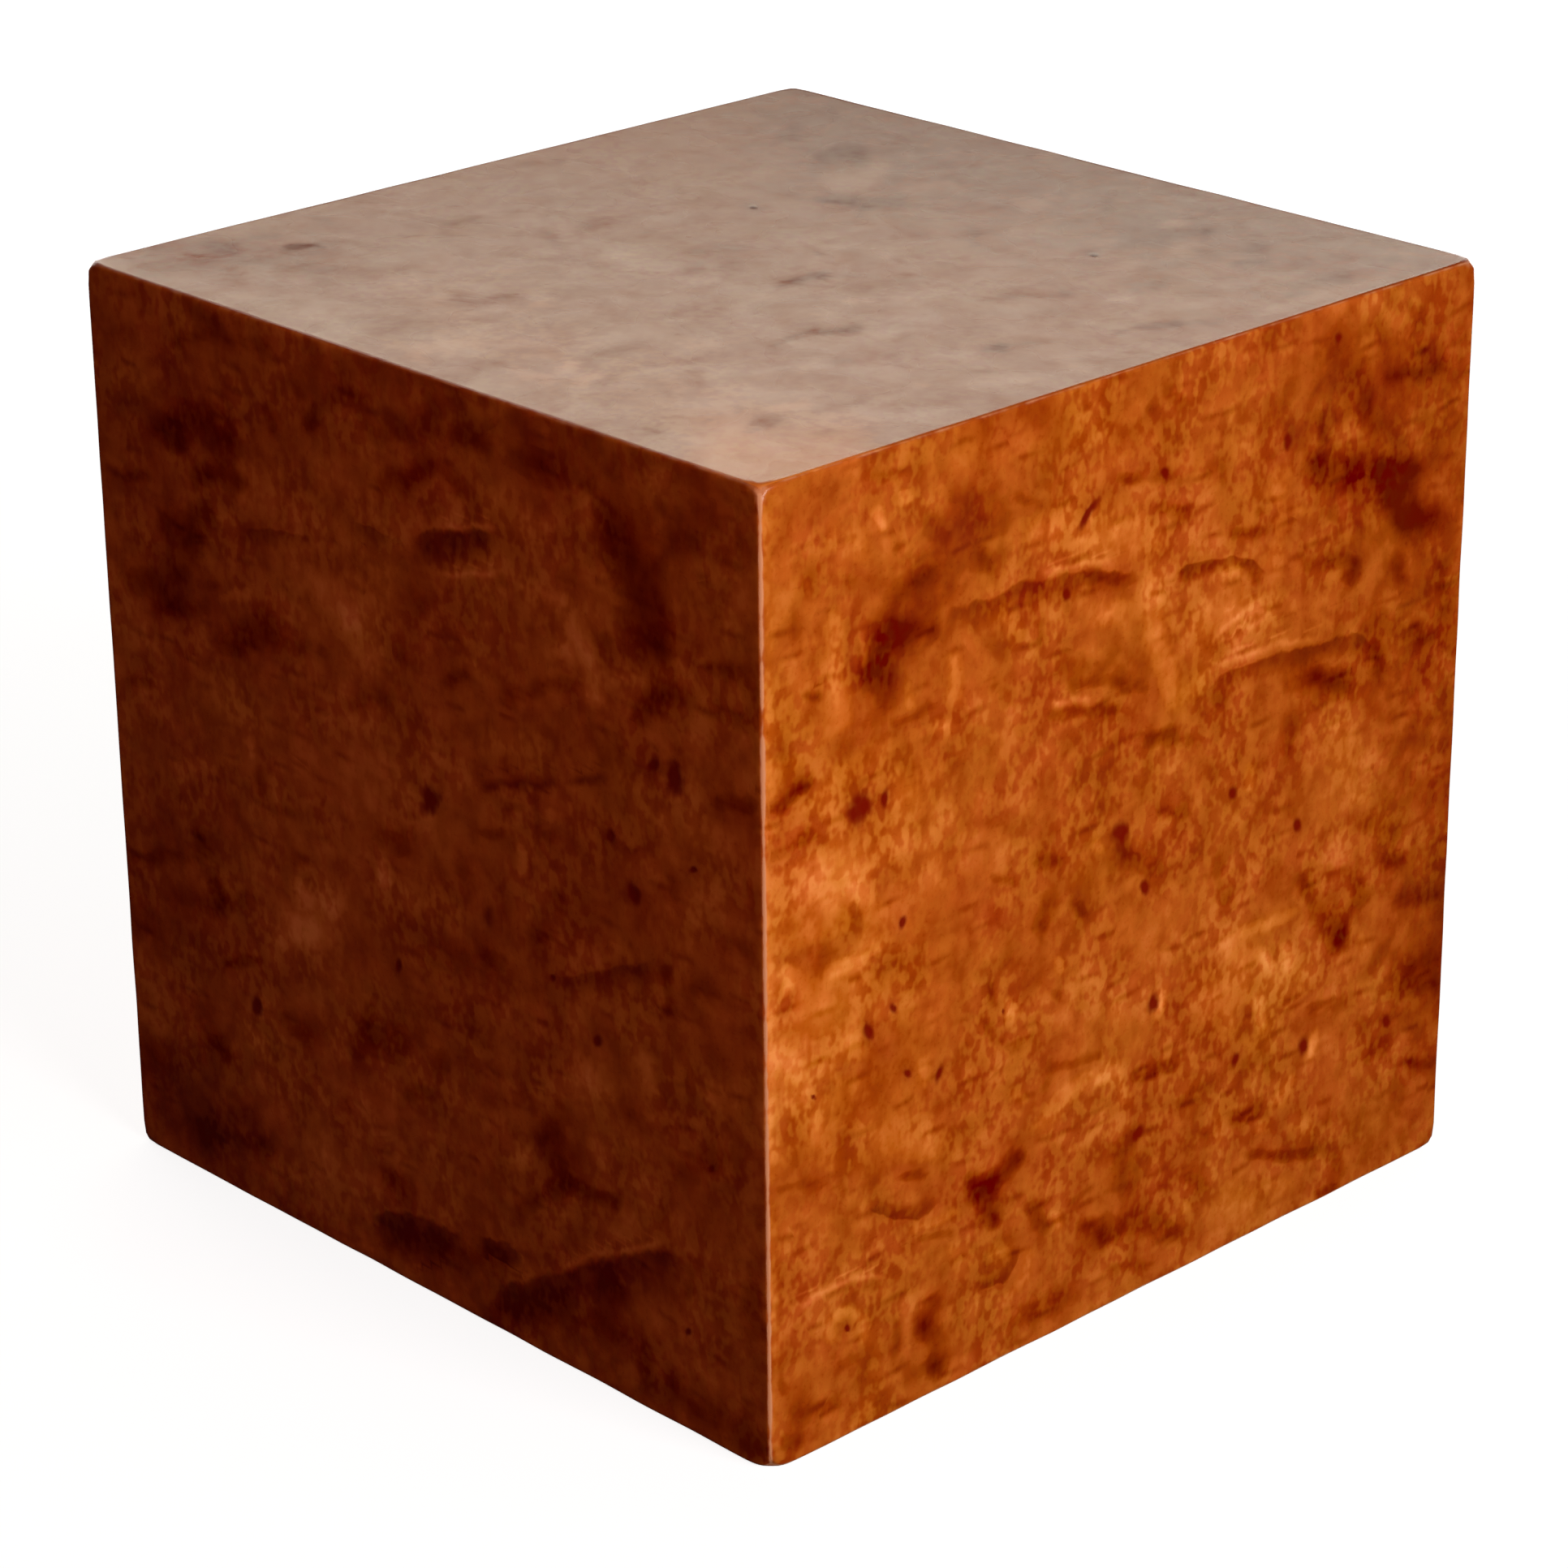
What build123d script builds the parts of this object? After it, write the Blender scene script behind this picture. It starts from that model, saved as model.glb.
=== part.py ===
"""Solid cube of burl wood for a desk or a bench, sawn from one blank, with its edges and corners sanded.

The origin is at the middle of the foot, with +Z up. The face at -Y is the front and the face at +X the right.
Lengths are in millimetres.
"""

import os
from math import hypot

from build123d import *

# Driving dimensions of the sawn blank
width = 100.0  # along X
depth = 100.0  # along Y
height = 100.0  # along Z

# The sanding: it takes each corner back along the block's own diagonal, and then breaks every edge that is left
corner_easing = 0.8
edge_radius = 0.5

# Places that follow from the sizes
middle = Plane.XY.offset(height / 2)
corner_reach = hypot(width, depth, height) / 2 - corner_easing

# The block: its foot is drawn on the bench and raised to the full height. A ball about its middle is what the sanded
# corners lie on, so all eight lose the same amount, and the fillet runs round them and along the edges.
with BuildPart() as wood_block:
    with BuildSketch(Plane.XY) as foot:
        Rectangle(width, depth)
    extrude(amount=height)
    with Locations(middle):
        Sphere(radius=corner_reach, mode=Mode.INTERSECT)
    fillet(wood_block.edges(), radius=edge_radius)

wood_block.part.label = "wood_block"

os.makedirs("parts", exist_ok=True)
export_step(wood_block.part, "parts/wood_block.step")
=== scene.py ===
"""Looks of the burl wood block: its sanded edges, pin knots, figure and lacquer, in soft studio light.

Lengths are in metres, in the frame of the part: the origin is at the middle of the foot, +Z is up, the face
at -Y is the front and the face at +X the right. Places in the figure of the three faces that the photograph
shows are pixels of the photograph, and every other place is worked out from the block's own box.
"""

import math
import random

import bmesh
import bpy
import numpy as np
from mathutils import Matrix, Vector, noise


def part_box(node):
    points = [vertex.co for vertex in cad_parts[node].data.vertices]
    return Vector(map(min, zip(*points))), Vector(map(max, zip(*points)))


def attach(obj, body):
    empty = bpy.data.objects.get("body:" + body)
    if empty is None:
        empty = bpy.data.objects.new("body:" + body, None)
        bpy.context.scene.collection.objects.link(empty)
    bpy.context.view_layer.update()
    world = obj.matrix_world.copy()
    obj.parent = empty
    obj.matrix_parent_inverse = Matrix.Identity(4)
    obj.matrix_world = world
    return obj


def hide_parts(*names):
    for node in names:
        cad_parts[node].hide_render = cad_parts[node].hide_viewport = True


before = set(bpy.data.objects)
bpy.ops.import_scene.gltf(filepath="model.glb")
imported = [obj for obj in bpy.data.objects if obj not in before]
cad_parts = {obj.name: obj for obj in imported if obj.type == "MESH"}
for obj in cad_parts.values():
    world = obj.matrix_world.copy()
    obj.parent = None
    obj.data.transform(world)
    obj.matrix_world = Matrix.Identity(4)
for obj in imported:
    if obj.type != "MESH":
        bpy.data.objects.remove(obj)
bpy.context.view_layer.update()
block_low, block_high = (np.array(corner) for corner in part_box("wood_block"))
block_middle = (block_low + block_high) / 2
block_half = (block_high - block_low) / 2
side_length = 2 * block_half[0]

# The photograph and the camera that took it. Azimuth 0 looks along +Y, and lengths are shares of the side.
PHOTO_PIXELS = 1932
CAMERA_AZIMUTH = math.radians(46.50)
CAMERA_ELEVATION = math.radians(22.59)
CAMERA_ROLL = math.radians(-0.533)
CAMERA_DISTANCE_SHARE = 5.042
CAMERA_RIGHT_SHARE = 0.0011
CAMERA_UP_SHARE = -0.0706
LENS_MM = 109.71
SENSOR_MM = 36.0

# The sanded form, as in the solid, and how far the hand that sanded it strayed
EDGE_RADIUS = 0.0005
EDGE_STRAY_SHARE = 0.35
EDGE_STRAY_LENGTH = 0.007
CORNER_EASING = 0.0008
WORN_CORNER = np.array((1.0, -1.0, -1.0)) / math.sqrt(3)
WORN_CORNER_LOSS = 0.0010
CORNER_SOFTNESS = 0.0001
WORN_SOFTNESS = 0.0004
WORN_FINE_REACH = 0.0045
EDGE_STEPS_DEG = (45, 30, 15, 0)
EDGE_MARGIN = 0.0004
CELLS_ACROSS = 64
SHOWN_FACE_CUTS = 1
SMALL_SHADE_CUTS = 1
KNOT_CUTS = 2
KNOT_DEPTH = 0.00004

# Figure that the photograph shows, placed one by one. A shade is how much darker it is, how wide its half is
# and the pixels of its line. A shelf is a shade with one crisp side, which is on the left as its line runs,
# and a stroke is a narrow shade. A knot is its middle, width, height, lean in degrees and how pale its rim
# is.
RIGHT_SHADES = (
    # Two broad zones, darker at the top right and lighter near the front edge, partly painted shade and light
    # for the falloff of the light across the face; then lighter and darker patches
    (0.12, 80, ((1640, 480), (1740, 560))),
    (-0.16, 120, ((1010, 960), (1010, 1300))),
    (-0.14, 28, ((984, 1192), (1000, 1236))),
    (-0.12, 32, ((1510, 1248), (1545, 1276))),
    (-0.11, 28, ((1746, 1098), (1742, 1142))),
    (-0.10, 24, ((1118, 966), (1122, 976))),
    (-0.08, 28, ((1488, 830), (1494, 840))),
    (-0.07, 30, ((1624, 528), (1630, 536))),
    (-0.10, 28, ((1074, 1676), (1080, 1686))),
    (-0.07, 28, ((1328, 1066), (1334, 1078))),
    (-0.06, 32, ((1030, 1424), (1040, 1430))),
    (-0.07, 26, ((1556, 612), (1562, 618))),
    (0.10, 26, ((1246, 534), (1262, 528))),
    (0.07, 26, ((1146, 548), (1158, 546))),
    (0.07, 26, ((998, 876), (1002, 892))),
    (0.08, 30, ((1402, 1168), (1410, 1178))),
    (0.06, 28, ((998, 684), (1002, 696))),
    # Beside the front edge, a pale strip: worn wood and partly a painted highlight
    (-0.12, 8, ((941, 620), (951, 1500), (955, 1790))),
    # Broad zones: lighter at the top middle, and darker along the right edge, partly painted shade where the
    # light falls off across the face
    (-0.07, 110, ((1210, 560), (1330, 540))),
    (0.16, 85, ((1745, 440), (1770, 1350))),
    # The long dark streak and what lies round it
    (0.13, 40, ((1164, 640), (1202, 628), (1240, 616))),
    (0.20, 42, ((1206, 654), (1160, 700), (1124, 746), (1102, 784), (1090, 816))),
    (0.24, 12, ((1108, 730), (1130, 716), (1146, 700))),
    (0.18, 9, ((1212, 684), (1216, 698))),
    (0.31, 18, ((1100, 776), (1088, 800), (1074, 826))),
    (0.13, 16, ((1144, 768), (1112, 780))),
    (0.15, 11, ((1094, 766), (1074, 818))),
    (0.14, 8, ((1112, 779), (1148, 773))),
    (0.18, 16, ((1084, 840), (1094, 868))),
    (0.20, 14, ((1074, 892), (1050, 912), (1018, 936), (996, 958), (978, 974))),
    (0.38, 10, ((990, 970), (965, 992), (950, 1000))),
    (0.14, 16, ((960, 1012), (1000, 1018))),
    (0.34, 15, ((1004, 1030), (955, 1054))),
    (0.16, 10, ((978, 768), (984, 806))),
    (0.14, 14, ((955, 925), (990, 920))),
    (0.20, 8, ((1102, 888), (1126, 878), (1150, 870))),
    (0.16, 14, ((1222, 838), (1242, 862))),
    (0.18, 13, ((1074, 588), (1112, 588))),
    (0.14, 12, ((1286, 576), (1334, 570))),
    (0.14, 20, ((990, 700), (1000, 736))),
    (0.14, 10, ((1042, 704), (1048, 716))),
    (0.14, 12, ((1096, 660), (1104, 678))),
    (0.18, 9, ((1256, 612), (1274, 620))),
    (-0.16, 14, ((1030, 760), (1034, 830), (1042, 890))),
    (-0.28, 8, ((1083, 632), (1090, 652))),
    (-0.22, 8, ((1113, 606), (1115, 620))),
    (-0.15, 10, ((1028, 648), (1026, 668))),
    (-0.12, 14, ((1060, 664), (1062, 684))),
    (-0.22, 10, ((1176, 812), (1181, 862))),
    (-0.16, 15, ((1236, 760), (1250, 774))),
    (-0.18, 10, ((1160, 894), (1170, 898))),
    (-0.18, 9, ((1112, 816), (1118, 866))),
    # Under the long arc
    (0.14, 12, ((1274, 750), (1276, 786))),
    (0.24, 11, ((1346, 714), (1396, 712))),
    (0.14, 20, ((1308, 814), (1372, 822))),
    (0.24, 9, ((1322, 845), (1376, 842))),
    (0.24, 9, ((1300, 880), (1368, 877))),
    (0.20, 10, ((1388, 848), (1414, 848))),
    (0.18, 15, ((1498, 842), (1504, 864))),
    (-0.16, 28, ((1280, 650), (1420, 664))),
    (-0.18, 15, ((1360, 756), (1380, 750))),
    (-0.22, 15, ((1418, 716), (1424, 790), (1440, 832))),
    (-0.16, 32, ((1490, 772), (1545, 752))),
    (-0.16, 10, ((1436, 846), (1446, 868))),
    (-0.14, 14, ((1462, 852), (1484, 838))),
    # Upper right
    (0.30, 12, ((1430, 626), (1458, 634))),
    (0.14, 14, ((1384, 588), (1500, 586))),
    (0.20, 9, ((1386, 588), (1394, 590))),
    (0.22, 13, ((1442, 488), (1454, 492))),
    (0.18, 8, ((1416, 505), (1420, 505))),
    (0.15, 9, ((1556, 565), (1564, 565))),
    (0.14, 18, ((1646, 436), (1672, 462))),
    (0.24, 9, ((1716, 464), (1774, 453))),
    (0.15, 9, ((1746, 432), (1756, 436))),
    (0.18, 12, ((1682, 484), (1690, 528))),
    (0.22, 8, ((1626, 512), (1630, 540))),
    (0.30, 15, ((1622, 568), (1700, 574), (1742, 574))),
    (0.26, 15, ((1630, 588), (1664, 594))),
    (0.38, 17, ((1704, 590), (1712, 608))),
    (0.24, 12, ((1730, 606), (1738, 620))),
    (0.40, 19, ((1728, 640), (1758, 642))),
    (0.18, 12, ((1780, 700), (1784, 790))),
    (0.14, 10, ((1454, 668), (1468, 672))),
    (0.22, 9, ((1520, 655), (1562, 656))),
    (0.22, 9, ((1550, 630), (1566, 630))),
    (0.16, 12, ((1626, 634), (1642, 644))),
    (0.28, 10, ((1640, 692), (1672, 690), (1662, 712))),
    (0.12, 12, ((1600, 698), (1622, 700))),
    (0.26, 8, ((1722, 686), (1724, 710))),
    (0.24, 10, ((1544, 710), (1548, 720))),
    (0.22, 10, ((1456, 704), (1462, 710))),
    (0.24, 14, ((1740, 776), (1760, 792))),
    (0.14, 14, ((1692, 770), (1702, 820))),
    (-0.15, 10, ((1666, 524), (1680, 538))),
    (-0.10, 24, ((1762, 490), (1742, 540))),
    (-0.12, 15, ((1772, 596), (1778, 606))),
    (-0.14, 9, ((1604, 628), (1660, 658), (1690, 698))),
    (-0.14, 15, ((1582, 580), (1576, 640), (1570, 690))),
    (-0.22, 9, ((1510, 706), (1524, 702))),
    (-0.22, 10, ((1768, 800), (1776, 806))),
    # Middle right
    (0.24, 22, ((1604, 838), (1654, 846))),
    (0.26, 12, ((1620, 834), (1650, 842))),
    (0.26, 9, ((1694, 802), (1698, 824))),
    (0.34, 10, ((1418, 912), (1442, 905))),
    (0.18, 10, ((1456, 914), (1474, 916))),
    (0.16, 10, ((1590, 886), (1586, 930))),
    (0.20, 10, ((1430, 998), (1460, 998))),
    (0.20, 16, ((1390, 1058), (1424, 1068))),
    (0.24, 15, ((1684, 1016), (1704, 1022))),
    (0.26, 10, ((1712, 1058), (1726, 1059))),
    (0.22, 10, ((1728, 1108), (1762, 1107))),
    (0.15, 13, ((1502, 1064), (1506, 1108))),
    (0.28, 10, ((1606, 1084), (1608, 1092))),
    (0.16, 10, ((1624, 1076), (1662, 1074))),
    (0.30, 11, ((1674, 1094), (1680, 1110))),
    (0.26, 24, ((1620, 1116), (1644, 1140))),
    (0.34, 10, ((1656, 1152), (1644, 1170))),
    (0.26, 16, ((1738, 1190), (1764, 1186))),
    (0.24, 12, ((1722, 1216), (1772, 1212))),
    (0.10, 40, ((1780, 1100), (1776, 1240))),
    (-0.14, 24, ((1652, 896), (1660, 950))),
    (-0.20, 8, ((1540, 946), (1540, 966))),
    (-0.16, 14, ((1666, 984), (1676, 986))),
    (-0.20, 8, ((1402, 1036), (1406, 1042))),
    (-0.22, 9, ((1532, 1148), (1562, 1138), (1602, 1118))),
    (-0.20, 16, ((1516, 1158), (1526, 1176))),
    (-0.26, 9, ((1552, 1176), (1560, 1188))),
    (-0.28, 8, ((1585, 1170), (1587, 1192))),
    (-0.22, 11, ((1672, 1152), (1680, 1162))),
    (-0.14, 34, ((1500, 1214), (1596, 1206))),
    (-0.16, 12, ((1738, 1030), (1762, 1020))),
    (-0.16, 9, ((1690, 1116), (1692, 1126))),
    # Middle left
    (0.24, 13, ((1086, 1080), (1092, 1100))),
    (0.22, 8, ((1052, 1118), (1056, 1144))),
    (0.26, 13, ((964, 1188), (1002, 1176), (1044, 1164))),
    (0.16, 12, ((996, 1196), (1010, 1196))),
    (0.16, 12, ((1082, 1184), (1090, 1188))),
    (0.24, 8, ((966, 1246), (978, 1224))),
    (0.16, 12, ((1086, 1276), (1094, 1292))),
    (0.14, 10, ((1042, 1254), (1048, 1260))),
    (0.16, 9, ((1036, 1318), (1064, 1318))),
    (0.14, 10, ((1012, 1338), (1020, 1342))),
    (0.20, 8, ((1222, 1214), (1226, 1236))),
    (0.20, 10, ((1212, 1258), (1222, 1280), (1248, 1292), (1268, 1282))),
    (0.26, 10, ((1282, 1062), (1308, 1060))),
    (0.20, 8, ((1222, 1081), (1246, 1088))),
    (0.24, 16, ((1292, 1108), (1284, 1146))),
    (0.22, 9, ((1328, 1114), (1332, 1124))),
    (0.14, 12, ((1222, 1014), (1236, 1018))),
    (0.16, 8, ((1322, 1044), (1328, 1046))),
    (0.16, 8, ((1284, 1214), (1310, 1234))),
    (0.22, 9, ((1296, 1320), (1322, 1312), (1350, 1300))),
    (0.16, 12, ((1292, 1340), (1274, 1372))),
    (0.12, 14, ((1346, 1350), (1354, 1352))),
    (-0.16, 34, ((1046, 1076), (1060, 1100))),
    (-0.22, 10, ((1024, 1198), (1054, 1186), (1080, 1170))),
    (-0.24, 9, ((970, 1196), (972, 1218))),
    (-0.22, 10, ((1050, 1258), (1052, 1288))),
    (-0.16, 11, ((1134, 1316), (1136, 1332))),
    (-0.16, 20, ((966, 1296), (984, 1346))),
    (-0.34, 10, ((1240, 1242), (1246, 1250))),
    (-0.12, 10, ((1150, 1056), (1152, 1086))),
    (-0.20, 8, ((1304, 1188), (1306, 1196))),
    (-0.20, 9, ((1352, 1036), (1358, 1044))),
    (-0.22, 13, ((1280, 1384), (1306, 1352), (1340, 1331), (1376, 1320))),
    (-0.14, 9, ((1252, 1346), (1258, 1354))),
    # Lower left
    (0.20, 10, ((1036, 1404), (1048, 1410))),
    (0.16, 10, ((966, 1394), (974, 1398))),
    (0.20, 10, ((958, 1466), (1000, 1459), (1042, 1462))),
    (0.28, 10, ((1124, 1449), (1138, 1447))),
    (0.18, 9, ((1106, 1450), (1112, 1450))),
    (0.42, 11, ((1252, 1426), (1236, 1444), (1222, 1456))),
    (0.36, 11, ((1196, 1454), (1202, 1476))),
    (0.32, 14, ((1212, 1466), (1218, 1474))),
    (0.36, 11, ((1216, 1494), (1224, 1504))),
    (0.20, 9, ((1140, 1524), (1170, 1523))),
    (0.26, 13, ((1278, 1488), (1284, 1508))),
    (0.12, 10, ((1040, 1592), (1086, 1586))),
    (0.18, 15, ((1032, 1680), (1050, 1675))),
    (0.16, 8, ((1106, 1632), (1104, 1690))),
    (0.36, 13, ((1150, 1604), (1142, 1626))),
    (0.28, 10, ((1137, 1636), (1138, 1646))),
    (0.36, 10, ((1150, 1680), (1152, 1690))),
    (0.18, 16, ((1152, 1646), (1156, 1676))),
    (0.24, 10, ((964, 1704), (968, 1712))),
    (0.20, 17, ((988, 1740), (1034, 1732))),
    (0.22, 13, ((966, 1778), (984, 1774))),
    (0.22, 24, ((1252, 1630), (1300, 1600))),
    (0.22, 12, ((1342, 1512), (1364, 1520))),
    (0.12, 14, ((1126, 1696), (1130, 1720))),
    (-0.16, 24, ((1100, 1404), (1148, 1416))),
    (-0.16, 8, ((1004, 1384), (1006, 1408))),
    (-0.18, 8, ((1130, 1513), (1160, 1506), (1176, 1496))),
    (-0.26, 8, ((1298, 1498), (1302, 1508))),
    (-0.18, 11, ((1226, 1542), (1238, 1540))),
    (-0.16, 9, ((1268, 1544), (1264, 1574), (1242, 1600))),
    (-0.10, 16, ((1176, 1544), (1186, 1546))),
    (-0.20, 9, ((1024, 1650), (1022, 1630), (1040, 1618), (1062, 1628), (1064, 1648))),
    (-0.12, 14, ((1070, 1736), (1052, 1758))),
    # Lower right
    (0.22, 10, ((1535, 1250), (1536, 1268))),
    (0.24, 12, ((1618, 1242), (1650, 1238))),
    (0.16, 12, ((1690, 1300), (1702, 1290))),
    (0.28, 8, ((1740, 1314), (1774, 1306))),
    (0.26, 10, ((1400, 1326), (1444, 1311))),
    (0.20, 11, ((1476, 1338), (1462, 1354))),
    (0.14, 8, ((1556, 1312), (1564, 1312))),
    (0.28, 12, ((1522, 1378), (1554, 1368))),
    (0.14, 10, ((1630, 1350), (1636, 1390))),
    (0.14, 9, ((1484, 1394), (1486, 1406))),
    (0.28, 9, ((1546, 1425), (1614, 1419))),
    (0.24, 13, ((1468, 1450), (1480, 1457))),
    (0.18, 11, ((1646, 1426), (1654, 1440))),
    (0.24, 9, ((1624, 1470), (1642, 1462))),
    (0.18, 20, ((1384, 1412), (1382, 1458))),
    (0.24, 20, ((1354, 1516), (1400, 1510), (1446, 1512))),
    (0.16, 9, ((1374, 1562), (1416, 1556))),
    (-0.22, 8, ((1548, 1236), (1554, 1266))),
    (-0.20, 8, ((1590, 1330), (1574, 1356))),
    (-0.20, 8, ((1562, 1368), (1554, 1390))),
    (-0.12, 16, ((1600, 1384), (1610, 1386))),
    (-0.14, 8, ((1500, 1374), (1500, 1400))),
    (-0.14, 24, ((1514, 1480), (1536, 1476))),
    (-0.12, 14, ((1570, 1460), (1580, 1460))),
    (-0.18, 8, ((1450, 1500), (1462, 1486))),
    (-0.14, 16, ((1754, 1374), (1766, 1376))),
    (-0.10, 10, ((1720, 1270), (1722, 1292))),
    (-0.14, 10, ((1376, 1240), (1378, 1250))),
    (-0.14, 9, ((1384, 1340), (1386, 1360))),
)
RIGHT_SHELVES = (
    (0.30, 22, ((1160, 756), (1216, 740), (1260, 722), (1304, 711), (1356, 703), (1400, 710))),
    (0.28, 12, ((1446, 714), (1460, 698), (1490, 690), (1520, 684), (1546, 691), (1564, 712))),
    (0.28, 15, ((1486, 860), (1504, 832), (1538, 820), (1574, 808), (1630, 794), (1670, 782), (1702, 812))),
    (0.28, 11, ((1160, 1480), (1132, 1500), (1098, 1499), (1068, 1484))),
    (0.26, 11, ((1256, 1532), (1252, 1558), (1234, 1580), (1200, 1592))),
)
RIGHT_STROKES = (
    (-0.24, 5, ((1296, 867), (1346, 861))),
    (-0.22, 5, ((1284, 704), (1330, 694), (1374, 692))),
    (-0.20, 5, ((1480, 832), (1520, 812), (1560, 800), (1640, 784))),
    (-0.20, 5, ((1498, 790), (1524, 764), (1556, 740))),
    (-0.18, 5, ((1516, 800), (1542, 772), (1564, 756))),
    (-0.24, 5, ((976, 1621), (1002, 1600), (1030, 1584), (1060, 1575), (1100, 1572))),
    (-0.16, 6, ((1117, 1600), (1118, 1682))),
    (-0.18, 5, ((1063, 766), (1064, 832))),
    (0.28, 6, ((988, 857), (1016, 857))),
    (0.20, 5, ((1314, 1486), (1348, 1460))),
)
RIGHT_KNOTS = (
    (1060, 995, 19, 37, 8, 0.0),
    (1089, 981, 10, 20, 6, 0.0),
    (1381, 1026, 21, 30, 0, 0.0),
    (1344, 631, 10, 38, 34, 0.1),
    (1312, 735, 9, 15, 0, 0.1),
    (1586, 545, 10, 18, 20, 0.0),
    (1652, 416, 8, 15, 0, 0.0),
    (1435, 584, 10, 12, 0, 0.0),
    (1111, 1137, 9, 15, 15, 0.1),
    (1099, 1244, 8, 13, 0, 0.14),
    (1070, 1273, 11, 20, -8, 0.0),
    (1157, 1325, 10, 24, 14, 0.0),
    (1118, 1323, 7, 12, 0, 0.0),
    (1413, 1094, 11, 16, 0, 0.0),
    (1597, 1018, 9, 16, 0, 0.0),
    (1419, 1233, 12, 20, 16, 0.60),
    (1605, 1287, 13, 21, 8, 0.52),
    (1402, 1399, 11, 19, 30, 0.0),
    (1708, 1262, 8, 14, 10, 0.0),
    (1523, 1305, 7, 14, 8, 0.0),
    (1521, 977, 9, 14, 0, 0.0),
    (1234, 1246, 5, 8, 0, 0.0),
    (1044, 1640, 6, 9, 0, 0.1),
    (1001, 1354, 6, 8, 0, 0.0),
)
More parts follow.
